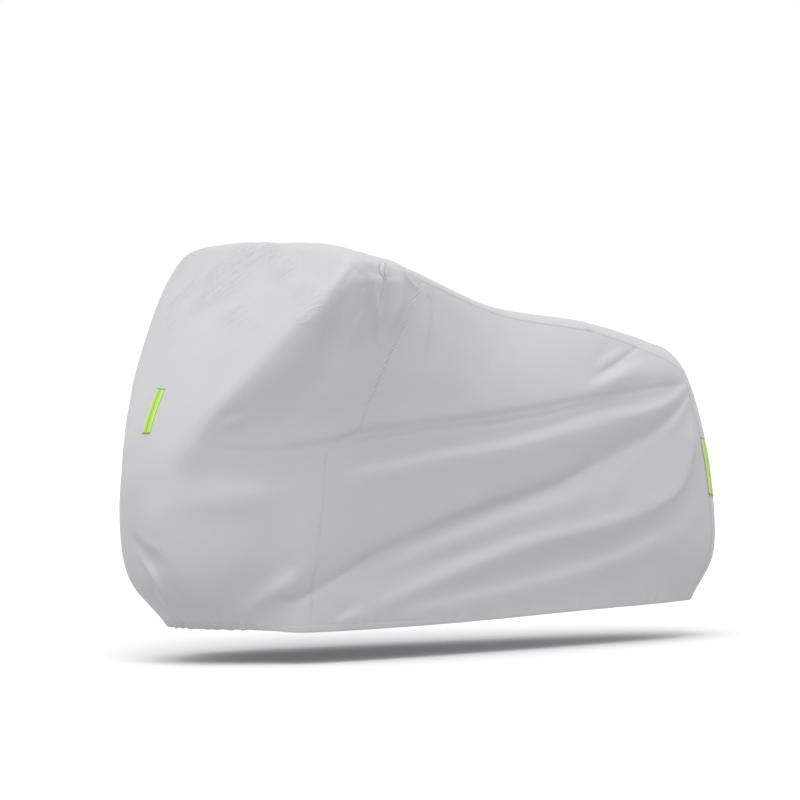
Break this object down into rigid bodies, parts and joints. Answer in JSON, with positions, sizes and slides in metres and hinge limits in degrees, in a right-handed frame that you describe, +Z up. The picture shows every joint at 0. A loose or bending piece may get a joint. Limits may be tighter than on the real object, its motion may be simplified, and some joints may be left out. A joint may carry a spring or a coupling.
{
  "type": "motorcycle cover",
  "caption": "Fitted, draped grey cloth cover for a two-wheeler, hollow and open below, wide over the handlebar and narrow at the tail, with sewn lime reflective strips",
  "frame": {"origin": "on the inner face of the top, in the middle plane, above the middle of the handlebar", "axes": "+X to the rear along the length, -Y the side with the tuck and the rear strip, +Z up"},
  "size_m": [2.0311, 0.8546, 1.0794],
  "materials": {
    "cover_cloth": "satin silver-grey coated polyester",
    "reflective_strip": "bright lime reflective tape"
  },
  "bodies": {
    "root": {"front_hood": "cover_cloth", "side_near": "cover_cloth", "side_far": "cover_cloth", "top_back_strip": "cover_cloth", "reflector_front": "reflective_strip", "reflector_rear": "reflective_strip"}
  },
  "joints": []
}
